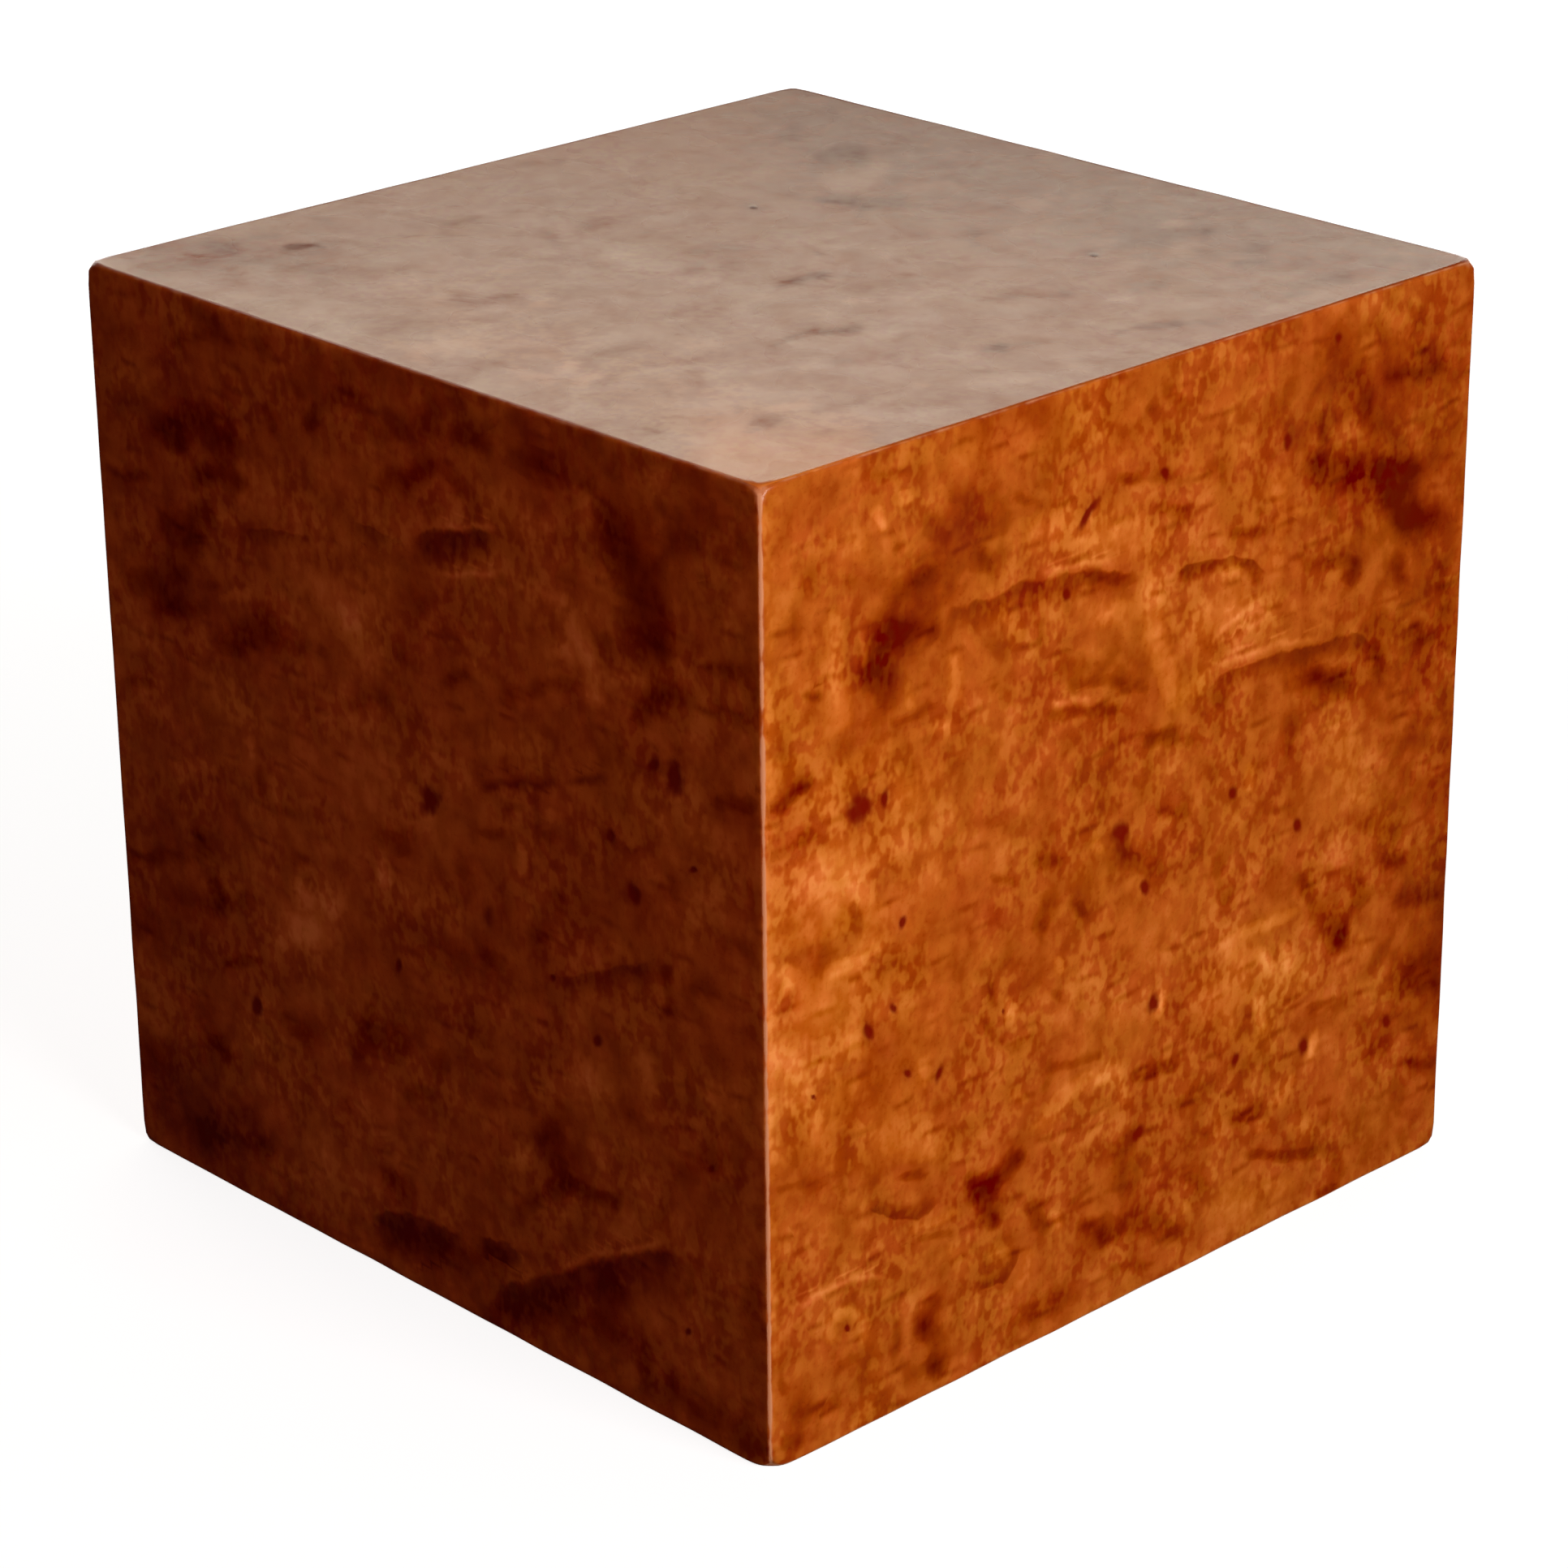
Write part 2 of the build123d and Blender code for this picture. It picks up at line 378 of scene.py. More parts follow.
LEFT_SHADES = (
    # Two broad zones, darker at the upper right and along the bottom
    (0.12, 80, ((420, 440), (640, 520), (900, 650))),
    (0.13, 70, ((220, 1420), (920, 1785))),
    # Upper left
    (0.34, 28, ((222, 520), (262, 522), (276, 540))),
    (0.26, 15, ((200, 530), (216, 546))),
    (0.30, 15, ((246, 588), (272, 586), (292, 598))),
    (0.30, 20, ((210, 646), (250, 640))),
    (0.30, 18, ((236, 668), (222, 702))),
    (0.26, 22, ((166, 712), (206, 730))),
    (0.24, 14, ((200, 748), (250, 752))),
    (0.20, 12, ((148, 586), (178, 582))),
    (0.22, 9, ((330, 502), (338, 526))),
    (0.26, 11, ((388, 508), (376, 526))),
    (0.20, 12, ((418, 492), (436, 488))),
    (0.16, 8, ((364, 474), (370, 488))),
    (0.18, 12, ((215, 418), (262, 410), (330, 430))),
    (0.16, 12, ((240, 385), (262, 391))),
    (0.30, 16, ((474, 596), (500, 592), (526, 578))),
    (0.16, 20, ((470, 530), (520, 530))),
    (0.20, 9, ((262, 722), (272, 724))),
    (0.16, 20, ((504, 716), (512, 752))),
    (-0.24, 10, ((278, 735), (300, 733))),
    (-0.12, 22, ((310, 520), (330, 575))),
    (-0.20, 30, ((395, 716), (430, 736))),
    (-0.16, 20, ((480, 704), (484, 746))),
    (-0.16, 10, ((324, 398), (336, 402))),
    (-0.14, 10, ((212, 386), (222, 390))),
    (-0.10, 24, ((150, 450), (170, 470))),
    # Upper right
    (0.24, 14, ((564, 535), (590, 545))),
    (0.28, 18, ((656, 570), (684, 584))),
    (0.16, 9, ((548, 575), (566, 606))),
    (0.44, 30, ((762, 656), (775, 690), (795, 735), (808, 780))),
    (0.22, 18, ((814, 800), (814, 858))),
    (0.18, 12, ((830, 665), (850, 665))),
    (0.26, 10, ((878, 822), (898, 824))),
    (0.20, 14, ((914, 836), (930, 856))),
    (0.16, 9, ((744, 782), (748, 790))),
    (0.14, 14, ((690, 710), (710, 716))),
    (0.18, 8, ((618, 710), (622, 716))),
    (0.14, 9, ((646, 774), (654, 778))),
    (0.16, 8, ((722, 600), (728, 602))),
    (-0.18, 28, ((620, 610), (648, 645))),
    (-0.26, 8, ((804, 584), (806, 608))),
    (-0.14, 14, ((846, 724), (850, 762))),
    (-0.20, 14, ((655, 725), (692, 741))),
    (-0.30, 16, ((708, 770), (722, 812), (734, 862))),
    (-0.20, 11, ((684, 806), (696, 806))),
    (-0.18, 11, ((760, 836), (780, 832))),
    (-0.18, 8, ((576, 816), (584, 822))),
    # Middle left
    (0.30, 22, ((284, 796), (310, 780), (326, 770))),
    (0.16, 14, ((346, 790), (400, 800))),
    (0.20, 9, ((164, 838), (178, 842))),
    (0.24, 11, ((492, 785), (494, 812))),
    (0.16, 22, ((440, 868), (478, 852))),
    (0.18, 10, ((320, 946), (322, 976))),
    (0.16, 9, ((344, 998), (360, 1000))),
    (0.22, 16, ((470, 1036), (500, 1028))),
    (0.16, 8, ((494, 1050), (504, 1052))),
    (0.28, 12, ((248, 1028), (252, 1050))),
    (0.20, 11, ((150, 1054), (232, 1056))),
    (0.22, 9, ((262, 1086), (268, 1102))),
    (0.16, 14, ((272, 1116), (302, 1106))),
    (0.16, 11, ((366, 1060), (374, 1062))),
    (0.20, 20, ((160, 1126), (190, 1150))),
    (0.12, 26, ((220, 1110), (260, 1122))),
    (-0.14, 9, ((250, 774), (254, 802))),
    (-0.22, 30, ((432, 764), (456, 802))),
    (-0.16, 28, ((276, 846), (296, 882))),
    (-0.20, 9, ((308, 914), (310, 932))),
    (-0.14, 16, ((240, 946), (262, 940))),
    (-0.22, 10, ((365, 1085), (376, 1102))),
    (-0.20, 26, ((374, 1142), (402, 1112))),
    (-0.24, 8, ((472, 1064), (474, 1090))),
    (-0.10, 34, ((510, 1096), (530, 1104))),
    # Middle right
    (0.22, 12, ((550, 838), (568, 831))),
    (0.22, 14, ((630, 856), (668, 846), (702, 845))),
    (0.26, 20, ((800, 870), (836, 861))),
    (0.16, 9, ((782, 884), (788, 888))),
    (0.16, 20, ((880, 880), (930, 890))),
    (0.28, 13, ((886, 990), (922, 993))),
    (0.18, 8, ((624, 996), (640, 994))),
    (0.22, 8, ((596, 1028), (614, 1025))),
    (0.16, 10, ((672, 1026), (678, 1036))),
    (0.24, 11, ((685, 1098), (690, 1118))),
    (0.18, 10, ((828, 1082), (834, 1104))),
    (0.22, 10, ((922, 1084), (926, 1100))),
    (0.22, 10, ((656, 1155), (677, 1152))),
    (0.16, 12, ((566, 1074), (576, 1078))),
    (0.14, 22, ((540, 1175), (600, 1180))),
    (0.16, 10, ((606, 1180), (616, 1182))),
    (0.24, 9, ((822, 1196), (824, 1246))),
    (0.16, 12, ((850, 1216), (880, 1226))),
    (0.16, 14, ((890, 1170), (920, 1172))),
    (-0.26, 9, ((642, 1044), (646, 1076))),
    (-0.20, 9, ((678, 1002), (682, 1010))),
    (-0.14, 16, ((764, 944), (776, 966))),
    (-0.16, 30, ((826, 1006), (896, 1050))),
    (-0.14, 26, ((870, 1110), (850, 1150))),
    (-0.16, 16, ((760, 1166), (782, 1180))),
    (-0.14, 12, ((556, 1118), (566, 1124))),
    (-0.12, 28, ((600, 910), (650, 920))),
    # Lower left
    (0.24, 9, ((282, 1187), (318, 1186))),
    (0.14, 22, ((244, 1250), (262, 1282))),
    (0.22, 11, ((268, 1285), (283, 1302))),
    (0.20, 20, ((350, 1260), (380, 1276))),
    (0.26, 24, ((448, 1286), (490, 1281))),
    (0.22, 12, ((454, 1240), (452, 1264))),
    (0.24, 22, ((165, 1290), (190, 1302))),
    (0.26, 48, ((216, 1336), (270, 1390))),
    (0.22, 18, ((246, 1386), (260, 1402))),
    (0.20, 12, ((304, 1408), (326, 1413))),
    (0.22, 12, ((508, 1350), (524, 1346))),
    (0.20, 11, ((540, 1300), (548, 1317))),
    (0.14, 10, ((428, 1354), (430, 1402))),
    (0.24, 14, ((478, 1450), (504, 1464))),
    (0.22, 22, ((484, 1530), (540, 1536))),
    (-0.16, 22, ((304, 1264), (326, 1282))),
    (-0.22, 24, ((366, 1148), (402, 1156))),
    (-0.16, 28, ((390, 1390), (414, 1462))),
    (-0.12, 14, ((472, 1342), (480, 1348))),
    # Lower right
    (0.14, 10, ((774, 1310), (776, 1322))),
    (0.14, 12, ((848, 1325), (852, 1346))),
    (0.14, 14, ((775, 1370), (800, 1366))),
    (0.36, 20, ((676, 1396), (690, 1430), (690, 1458))),
    (0.20, 11, ((690, 1358), (694, 1382))),
    (0.28, 12, ((700, 1462), (730, 1468), (758, 1480))),
    (0.22, 12, ((645, 1490), (660, 1478))),
    (0.18, 22, ((850, 1438), (892, 1425))),
    (0.16, 12, ((812, 1495), (818, 1516))),
    (0.20, 18, ((560, 1546), (616, 1552))),
    (0.26, 20, ((738, 1630), (758, 1637))),
    (0.20, 18, ((752, 1584), (758, 1596))),
    (0.24, 26, ((630, 1616), (690, 1612))),
    (0.16, 9, ((852, 1560), (850, 1592))),
    (0.20, 20, ((925, 1590), (935, 1642))),
    (0.20, 14, ((790, 1670), (800, 1702))),
    (0.18, 12, ((830, 1702), (842, 1722))),
    (0.22, 13, ((862, 1736), (880, 1746))),
    (0.14, 24, ((920, 1764), (936, 1780))),
    (-0.20, 26, ((722, 1320), (750, 1342))),
    (-0.20, 14, ((798, 1314), (800, 1346))),
    (-0.24, 16, ((878, 1350), (892, 1371))),
    (-0.22, 14, ((640, 1435), (652, 1422))),
    (-0.14, 9, ((736, 1454), (746, 1458))),
    (-0.14, 14, ((686, 1490), (694, 1494))),
    (-0.18, 9, ((634, 1540), (648, 1558), (674, 1568))),
    (-0.18, 9, ((772, 1575), (786, 1586))),
    (-0.16, 9, ((778, 1692), (782, 1700))),
)
LEFT_SHELVES = (
    (0.24, 15, ((300, 652), (344, 654), (384, 662))),
    (0.24, 12, ((436, 646), (458, 650), (482, 666))),
    (0.42, 28, ((508, 662), (530, 656), (568, 655), (612, 659))),
    (0.34, 26, ((452, 1508), (480, 1497), (520, 1500), (572, 1524))),
    (0.30, 18, ((588, 1530), (622, 1530), (646, 1560))),
    (0.36, 34, ((594, 1592), (660, 1578), (724, 1561), (800, 1547), (852, 1549))),
    (0.20, 18, ((680, 1214), (730, 1198), (806, 1188))),
)
LEFT_STROKES = (
    (0.30, 7, ((588, 970), (640, 965), (692, 966))),
    (0.26, 7, ((696, 965), (750, 959))),
    (-0.22, 5, ((536, 650), (618, 648))),
    (-0.20, 5, ((540, 706), (616, 706))),
    (0.20, 6, ((662, 972), (664, 1062))),
    (0.24, 5, ((602, 1116), (602, 1146))),
    (-0.22, 5, ((680, 1560), (740, 1544), (824, 1532))),
)
LEFT_KNOTS = (
    (531, 985, 24, 34, 0, 0.0),
    (829, 958, 20, 44, -14, 0.1),
    (802, 943, 11, 18, 0, 0.0),
    (490, 1190, 9, 18, 0, 0.26),
    (315, 1240, 13, 20, -20, 0.24),
    (752, 1029, 11, 18, -10, 0.0),
    (782, 1100, 13, 25, -14, 0.0),
    (740, 1283, 11, 14, 0, 0.0),
    (680, 1208, 7, 10, 0, 0.0),
    (854, 1072, 7, 8, 0, 0.0),
    (875, 1441, 7, 9, 0, 0.0),
    (849, 1640, 7, 9, 0, 0.0),
)
TOP_SHADES = (
    # Broad zones: darker at the back and lighter at the front, mostly painted shade and light for how the
    # light falls across the top
    (0.15, 120, ((1010, 150), (1780, 320))),
    (0.11, 39, ((190, 322), (400, 320))),
    (-0.25, 48, ((900, 565), (960, 580), (1040, 555))),
    (-0.11, 75, ((550, 395), (750, 460), (940, 525))),
    # Left
    (0.16, 5, ((358, 302), (394, 302))),
    (0.08, 9, ((262, 303), (284, 306))),
    (0.06, 6, ((300, 294), (342, 288))),
    (0.08, 6, ((385, 268), (408, 272))),
    (0.10, 7, ((545, 277), (586, 271))),
    (0.12, 10, ((670, 290), (688, 298))),
    (0.10, 6, ((718, 276), (746, 276))),
    (0.06, 7, ((482, 334), (514, 326))),
    (0.16, 6, ((562, 368), (590, 373), (632, 366))),
    (0.07, 6, ((580, 398), (622, 392))),
    (0.06, 16, ((470, 404), (520, 402))),
    (0.12, 8, ((588, 456), (612, 450))),
    (0.06, 9, ((548, 448), (575, 452))),
    (0.16, 7, ((724, 446), (734, 438), (770, 430))),
    (0.10, 6, ((736, 474), (756, 468))),
    (0.07, 5, ((650, 453), (672, 451))),
    (0.10, 7, ((648, 204), (690, 198))),
    (0.06, 5, ((624, 261), (640, 262))),
    (-0.14, 5, ((694, 280), (694, 296))),
    (-0.06, 9, ((470, 350), (510, 346))),
    (-0.08, 7, ((220, 342), (380, 389), (520, 437))),
    (-0.10, 5, ((656, 372), (674, 371))),
    (-0.07, 6, ((600, 338), (640, 326))),
    (-0.11, 5, ((696, 452), (704, 450))),
    (-0.10, 6, ((716, 468), (736, 462))),
    (-0.07, 7, ((640, 458), (672, 464))),
    (-0.09, 6, ((745, 316), (795, 314))),
    (-0.06, 10, ((520, 432), (590, 424))),
    (-0.06, 10, ((730, 222), (770, 206))),
    # Middle
    (0.10, 11, ((1010, 198), (1030, 188), (1060, 192))),
    (0.14, 6, ((1012, 246), (1050, 249))),
    (0.09, 8, ((1060, 252), (1112, 252))),
    (0.11, 4, ((1066, 256), (1062, 268))),
    (0.08, 18, ((850, 312), (905, 306))),
    (0.09, 6, ((842, 334), (866, 330))),
    (0.09, 5, ((884, 328), (900, 326))),
    (0.13, 4, ((1006, 312), (1016, 312))),
    (0.16, 6, ((962, 349), (988, 346), (1016, 342))),
    (0.05, 10, ((1020, 344), (1140, 342))),
    (0.09, 8, ((836, 380), (862, 374))),
    (0.08, 5, ((784, 392), (832, 389))),
    (0.16, 7, ((954, 430), (976, 416), (1000, 408), (1056, 402))),
    (0.09, 9, ((1022, 446), (1064, 438))),
    (0.08, 5, ((902, 466), (922, 464))),
    (0.10, 5, ((818, 480), (824, 484))),
    (0.06, 6, ((856, 450), (854, 490))),
    (0.11, 5, ((1006, 501), (1034, 498), (1066, 492))),
    (0.14, 7, ((926, 522), (960, 517))),
    (0.11, 7, ((798, 532), (814, 530))),
    (0.08, 5, ((1010, 537), (1032, 532))),
    (0.09, 6, ((1108, 418), (1120, 412))),
    (0.06, 8, ((1078, 440), (1124, 432))),
    (0.09, 5, ((790, 291), (800, 288))),
    (0.08, 7, ((964, 168), (980, 162))),
    (0.08, 6, ((1022, 134), (1026, 146))),
    (0.08, 4, ((1199, 282), (1201, 302))),
    (-0.16, 10, ((1022, 224), (1060, 222), (1084, 208))),
    (-0.13, 4, ((1018, 306), (1038, 302))),
    (-0.13, 5, ((1088, 318), (1096, 318))),
    (-0.06, 12, ((1066, 306), (1110, 306))),
    (-0.08, 9, ((840, 352), (874, 348))),
    (-0.13, 4, ((940, 364), (944, 364))),
    (-0.14, 6, ((1042, 370), (1070, 370))),
    (-0.11, 5, ((1110, 369), (1122, 367))),
    (-0.08, 8, ((984, 388), (1018, 390))),
    (-0.10, 5, ((950, 502), (996, 496))),
    (-0.08, 9, ((846, 424), (912, 420))),
    (-0.07, 8, ((984, 454), (1020, 444))),
    (-0.11, 5, ((1130, 476), (1146, 474))),
    (-0.07, 7, ((1120, 234), (1170, 226))),
    (-0.06, 9, ((1130, 372), (1180, 348), (1240, 334))),
    (-0.07, 5, ((898, 287), (914, 283))),
    (-0.06, 6, ((848, 238), (860, 226))),
    # Right
    (0.07, 8, ((1206, 370), (1250, 366), (1314, 362))),
    (0.15, 8, ((1212, 432), (1236, 428))),
    (0.10, 7, ((1236, 428), (1290, 424))),
    (0.10, 5, ((1192, 457), (1222, 455))),
    (0.07, 5, ((1290, 390), (1328, 385))),
    (0.13, 7, ((1402, 404), (1450, 400))),
    (0.08, 8, ((1450, 400), (1502, 396))),
    (0.14, 4, ((1378, 410), (1390, 408))),
    (0.08, 9, ((1396, 352), (1430, 348))),
    (0.06, 16, ((1390, 296), (1420, 286))),
    (0.06, 8, ((1430, 292), (1480, 284))),
    (0.14, 5, ((1484, 287), (1492, 285))),
    (0.10, 4, ((1520, 324), (1558, 321))),
    (0.07, 5, ((1536, 306), (1556, 302))),
    (0.07, 5, ((1630, 344), (1660, 340))),
    (0.10, 5, ((1712, 322), (1718, 321))),
    (0.07, 5, ((1590, 363), (1614, 360))),
    (0.07, 5, ((1367, 240), (1364, 262))),
    (0.07, 6, ((1376, 440), (1404, 434))),
    (-0.13, 5, ((1368, 332), (1398, 326))),
    (-0.14, 5, ((1368, 370), (1394, 370))),
    (-0.11, 5, ((1338, 398), (1350, 396))),
    (-0.10, 8, ((1310, 440), (1340, 456))),
    (-0.10, 6, ((1255, 286), (1276, 284))),
    (-0.10, 5, ((1430, 278), (1452, 272))),
    (-0.10, 6, ((1448, 310), (1472, 302))),
    (-0.07, 6, ((1262, 258), (1290, 246))),
    (-0.06, 5, ((1560, 386), (1740, 331))),
    (-0.08, 7, ((1190, 472), (1280, 468))),
    (-0.06, 7, ((1240, 408), (1300, 412))),
)
TOP_KNOTS = (
    (1346, 315, 11, 6, 0, 0.0),
    (930, 255, 10, 6, 0, 0.0),
)

# Figure of the three faces that the photograph doesn't show, placed by a seeded draw. Each kind of mark is
# how many there are, the least and most of its shade, half width and steps, and the stride of a step.
HIDDEN_SEED = 20
HIDDEN_SHADES = (60, (0.14, 0.38), (9, 26), (1, 3), 30)
HIDDEN_LIGHTS = (30, (-0.24, -0.12), (8, 18), (1, 2), 26)
HIDDEN_SHELVES = (10, (0.18, 0.32), (11, 20), (3, 5), 36)
HIDDEN_STROKES = (8, (-0.26, -0.18), (5, 6), (2, 4), 26)
HIDDEN_HEADING = 0.6
HIDDEN_BEND = 0.45
HIDDEN_KNOTS = 15
HIDDEN_KNOT_WIDTHS = (8, 18)
HIDDEN_KNOT_HEIGHT_SHARES = (1.2, 2.0)
HIDDEN_KNOT_LEAN = 15
HIDDEN_KNOT_RIMS = (0.0, 0.0, 0.2)

# How the marks are drawn: the wander of their outlines as lengths and reaches, how a shelf or a stroke runs
# out at its ends, how far out from a line or a knot its gap is still told, and which marks have finer cells
WANDER = ((0.0060, 0.0004), (0.0022, 0.00025))
WANDER_SEED = 3
RUN_OUT_SHARE = 0.16
LINE_GAP_LIMIT = 3.0
KNOT_GAP_LIMIT = 3.0
KNOT_OUTLINE = (1.2, 0.6)
BROAD_SHADE = 40
SMALL_SHADE = 9
SMALL_SHADE_FACES = ("right", "front")
SMALL_SHADE_FINE_REACH = 1.6
KNOT_FINE_REACH = 1.9
KNOT_HALO = 2.2
RIM_AWAY, RIM_WIDTH, RIM_HEIGHT = 0.8, 0.9, 1.6
KNOT_HALO_SHADE = 0.12
CALM_TOP_SHARE = 0.2
# How much of the pale edge colour the top edges get, and how far round each corner it reaches: wear and a
# painted highlight
TOP_EDGE_WEAR_AND_HIGHLIGHT = 0.25
CORNER_WEAR_AND_HIGHLIGHT_REACH = 0.0008
MAP_COLUMNS, MAP_ROWS, MAP_BORDER = 3, 2, 0.01

# Each face is its axis, the end of that axis, and its axes across and up as the marks are drawn
FACES = {
    "right": (0, 1, 1, 2),
    "front": (1, 0, 0, 2),
    "top": (2, 1, 0, 1),
    "left": (0, 0, 1, 2),
    "back": (1, 1, 0, 2),
    "foot": (2, 0, 0, 1),
}
PHOTOGRAPHED = {
    "right": (RIGHT_SHADES, RIGHT_SHELVES, RIGHT_STROKES, RIGHT_KNOTS),
    "front": (LEFT_SHADES, LEFT_SHELVES, LEFT_STROKES, LEFT_KNOTS),
    "top": (TOP_SHADES, (), (), TOP_KNOTS),
}


# Camera
def camera_axes():
    """The camera's right, up and backward directions and its place."""
    level = math.cos(CAMERA_ELEVATION)
    back = np.array((
        math.sin(CAMERA_AZIMUTH) * level,
        -math.cos(CAMERA_AZIMUTH) * level,
        math.sin(CAMERA_ELEVATION),
    ))
    right = np.array((math.cos(CAMERA_AZIMUTH), math.sin(CAMERA_AZIMUTH), 0.0))
    up = np.cross(back, right)
    rolled_right = math.cos(CAMERA_ROLL) * right + math.sin(CAMERA_ROLL) * up
    rolled_up = math.cos(CAMERA_ROLL) * up - math.sin(CAMERA_ROLL) * right
    shares = CAMERA_DISTANCE_SHARE * back + CAMERA_RIGHT_SHARE * rolled_right + CAMERA_UP_SHARE * rolled_up
    return rolled_right, rolled_up, back, block_middle + shares * side_length


def make_camera():
    """The photograph's camera."""
    right, up, back, place = camera_axes()
    data = bpy.data.cameras.new("camera")
    data.lens = LENS_MM
    data.sensor_width = SENSOR_MM
    camera = bpy.data.objects.new("camera", data)
    turn = Matrix((right, up, back)).transposed().to_4x4()
    camera.matrix_world = Matrix.Translation(Vector(place)) @ turn
    bpy.context.scene.collection.objects.link(camera)
    bpy.context.scene.camera = camera


def photo_pixels(points):
    """Where the camera sees each point, in pixels of the photograph."""
    right, up, back, place = camera_axes()
    sight = points - place
    ahead = -(sight @ back)
    zoom = LENS_MM / SENSOR_MM * PHOTO_PIXELS
    across = PHOTO_PIXELS / 2 + zoom * (sight @ right) / ahead
    down = PHOTO_PIXELS / 2 - zoom * (sight @ up) / ahead
    return np.column_stack((across, down))


# Marks
def pixels_per_metre():
    """How many pixels of the photograph a metre takes up at the block's middle."""
    return LENS_MM / SENSOR_MM * PHOTO_PIXELS / (CAMERA_DISTANCE_SHARE * side_length)


def drawing_plane(name, points):
    """The plane that a face's marks are drawn on: the photograph, or the face at the photograph's scale."""
    if name in PHOTOGRAPHED:
        return photo_pixels(points)
    _, _, across, up = FACES[name]
    return (points - block_middle)[:, [across, up]] * (1, -1) * pixels_per_metre()


def hidden_marks(name):
    """Marks for a face that the photograph doesn't show, of the same kinds and sizes as on the others."""
    draw = random.Random(HIDDEN_SEED + list(FACES).index(name))
    reach = side_length / 2 * pixels_per_metre()

    def line(steps, stride):
        points = [(draw.uniform(-reach, reach), draw.uniform(-reach, reach))]
        heading = draw.gauss(0, HIDDEN_HEADING)
        for _ in range(steps):
            x, y = points[-1]
            points.append((x + stride * math.cos(heading), y + stride * math.sin(heading)))
            heading += draw.gauss(0, HIDDEN_BEND)
        return tuple(points)

    def marks(count, shade, half_width, steps, stride):
        drawn = []
        for _ in range(count):
            strength, half = draw.uniform(*shade), draw.uniform(*half_width)
            drawn.append((strength, half, line(draw.randint(*steps), stride)))
        return drawn

    shades = marks(*HIDDEN_SHADES) + marks(*HIDDEN_LIGHTS)
    shelves = marks(*HIDDEN_SHELVES)
    strokes = marks(*HIDDEN_STROKES)
    knots = []
    for _ in range(HIDDEN_KNOTS):
        (x, y), = line(0, 0)
        width = draw.uniform(*HIDDEN_KNOT_WIDTHS)
        height = width * draw.uniform(*HIDDEN_KNOT_HEIGHT_SHARES)
        lean = draw.gauss(0, HIDDEN_KNOT_LEAN)
        knots.append((x, y, width, height, lean, draw.choice(HIDDEN_KNOT_RIMS)))
    return shades, shelves, strokes, knots


MARKS = {name: PHOTOGRAPHED.get(name) or hidden_marks(name) for name in FACES}


def line_gap(flat, line):
    """How far each flat point is from a line, less than 0 on its left as it runs, and how far along it is."""
    ends = np.array(line, float)
    lengths = np.linalg.norm(np.diff(ends, axis=0), axis=1)
    before = np.concatenate(((0,), np.cumsum(lengths)))
    nearest = np.full(len(flat), np.inf)
    side = np.ones(len(flat))
    travel = np.zeros(len(flat))
    for start, end, length, passed in zip(ends[:-1], ends[1:], lengths, before):
        run = (end - start) / length
        along = np.clip((flat - start) @ run, 0, length)
        gap = flat - start - along[:, None] * run
        away = np.hypot(gap[:, 0], gap[:, 1])
        closer = away < nearest
        nearest = np.where(closer, away, nearest)
        side = np.where(closer, np.where(run[0] * gap[:, 1] < run[1] * gap[:, 0], -1, 1), side)
        travel = np.where(closer, passed + along, travel)
    return nearest * side, travel / before[-1]


def knot_gap(flat, knot):
    """How far each flat point is from a knot's middle, where 1 is on the knot's outline."""
    x, y, width, height, lean, _ = knot
    turn = math.radians(lean)
    gap = flat - (x, y)
    across = gap[:, 0] * math.cos(turn) + gap[:, 1] * math.sin(turn)
    along = gap[:, 1] * math.cos(turn) - gap[:, 0] * math.sin(turn)
    return np.hypot(across / width, along / height) * 2


def ramp(values, start, end):
    """A smooth step from 0 at start to 1 at end."""
    share = np.clip((values - start) / (end - start), 0, 1)
    return share * share * (3 - 2 * share)


def nearest_line(flat, lines):
    """The gap to the nearest of several lines, as a share of its half width, and how dark it is there."""
    nearest = np.full(len(flat), LINE_GAP_LIMIT)
    dark = np.zeros(len(flat))
    for shade, half_width, line in lines:
        gap, along = line_gap(flat, line)
        gap = np.clip(gap / half_width, -LINE_GAP_LIMIT, LINE_GAP_LIMIT)
        strength = shade * ramp(along, 0, RUN_OUT_SHARE) * ramp(along, 1, 1 - RUN_OUT_SHARE)
        strength *= ramp(np.abs(gap), LINE_GAP_LIMIT, LINE_GAP_LIMIT / 2)
        closer = np.abs(gap) < np.abs(nearest)
        nearest = np.where(closer, gap, nearest)
        dark = np.where(closer, strength, dark)
    return nearest, dark


def draw_marks(flat, marks):
    """What the wood's nodes need to know about the marks at each flat point."""
    shades, shelves, strokes, knots = marks
    dark = np.zeros(len(flat))
    film = np.zeros(len(flat))
    knot_field = np.full(len(flat), KNOT_GAP_LIMIT)
    for shade, half_width, line in shades:
        gap, _ = line_gap(flat, line)
        told = shade * np.exp(-(gap / half_width) ** 2)
        dark += told
        if half_width < BROAD_SHADE:
            film += told
    for knot in knots:
        x, y, width, height, lean, rim = knot
        gap = knot_gap(flat, knot)
        knot_field = np.minimum(knot_field, gap)
        dark += KNOT_HALO_SHADE * np.exp(-(gap / KNOT_HALO) ** 2)
        rim_gap = knot_gap(flat, (x + RIM_AWAY * width, y, RIM_WIDTH * width, RIM_HEIGHT * height, lean, rim))
        dark -= rim * np.exp(-rim_gap ** 2)
    shelf_gap, shelf_dark = nearest_line(flat, shelves)
    stroke_gap, stroke_dark = nearest_line(flat, strokes)
    return {
        "dark": dark,
        "film": film,
        "knot_gap": knot_field,
        "shelf_gap": shelf_gap,
        "shelf_dark": shelf_dark,
        "stroke_gap": stroke_gap,
        "stroke_dark": stroke_dark,
    }


